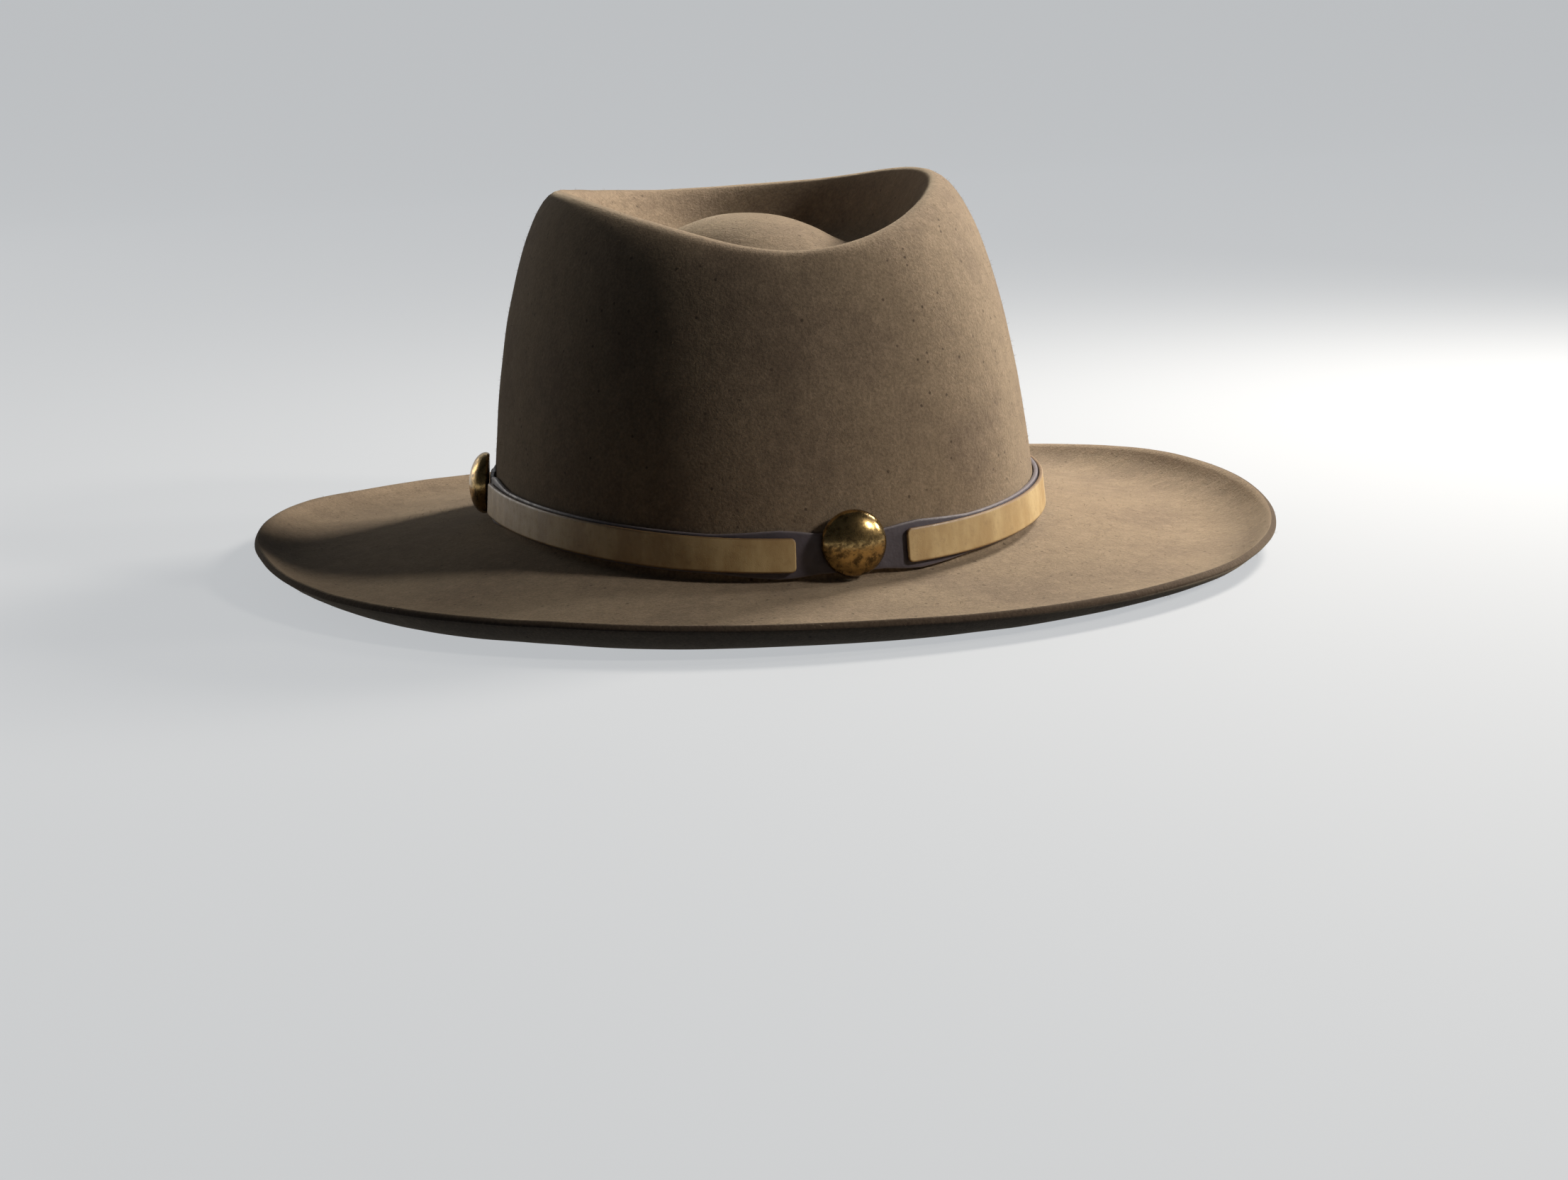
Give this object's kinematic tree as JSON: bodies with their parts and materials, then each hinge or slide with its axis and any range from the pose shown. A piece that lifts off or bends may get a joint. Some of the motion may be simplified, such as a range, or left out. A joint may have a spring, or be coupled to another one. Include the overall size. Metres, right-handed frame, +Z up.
{
  "type": "felt fedora hat with a studded leather band",
  "caption": "Wide-brimmed soft felt fedora with a teardrop crown, a curled raw-edged brim and a leather band with domed brass studs, resting on its brim.",
  "frame": {"origin": "on the resting surface, under the middle of the hat's outline", "axes": "+Z up, front of the hat towards -Y, the wearer's left towards +X"},
  "size_m": [0.322, 0.348, 0.1182],
  "materials": {
    "felt": "brushed brown fur felt, mottled, matt",
    "dark_leather": "dyed near-black leather, satin",
    "tan_leather": "natural tan leather, satin, smooth cut edges",
    "aged_brass": "domed brass with dark mottled patina"
  },
  "bodies": {
    "root": {"felt_body": "felt", "base_strap": "dark_leather", "strip_front_left": "tan_leather", "strip_front_right": "tan_leather", "strip_back": "tan_leather", "stud_front": "aged_brass", "stud_left": "aged_brass", "stud_right": "aged_brass"}
  },
  "joints": []
}
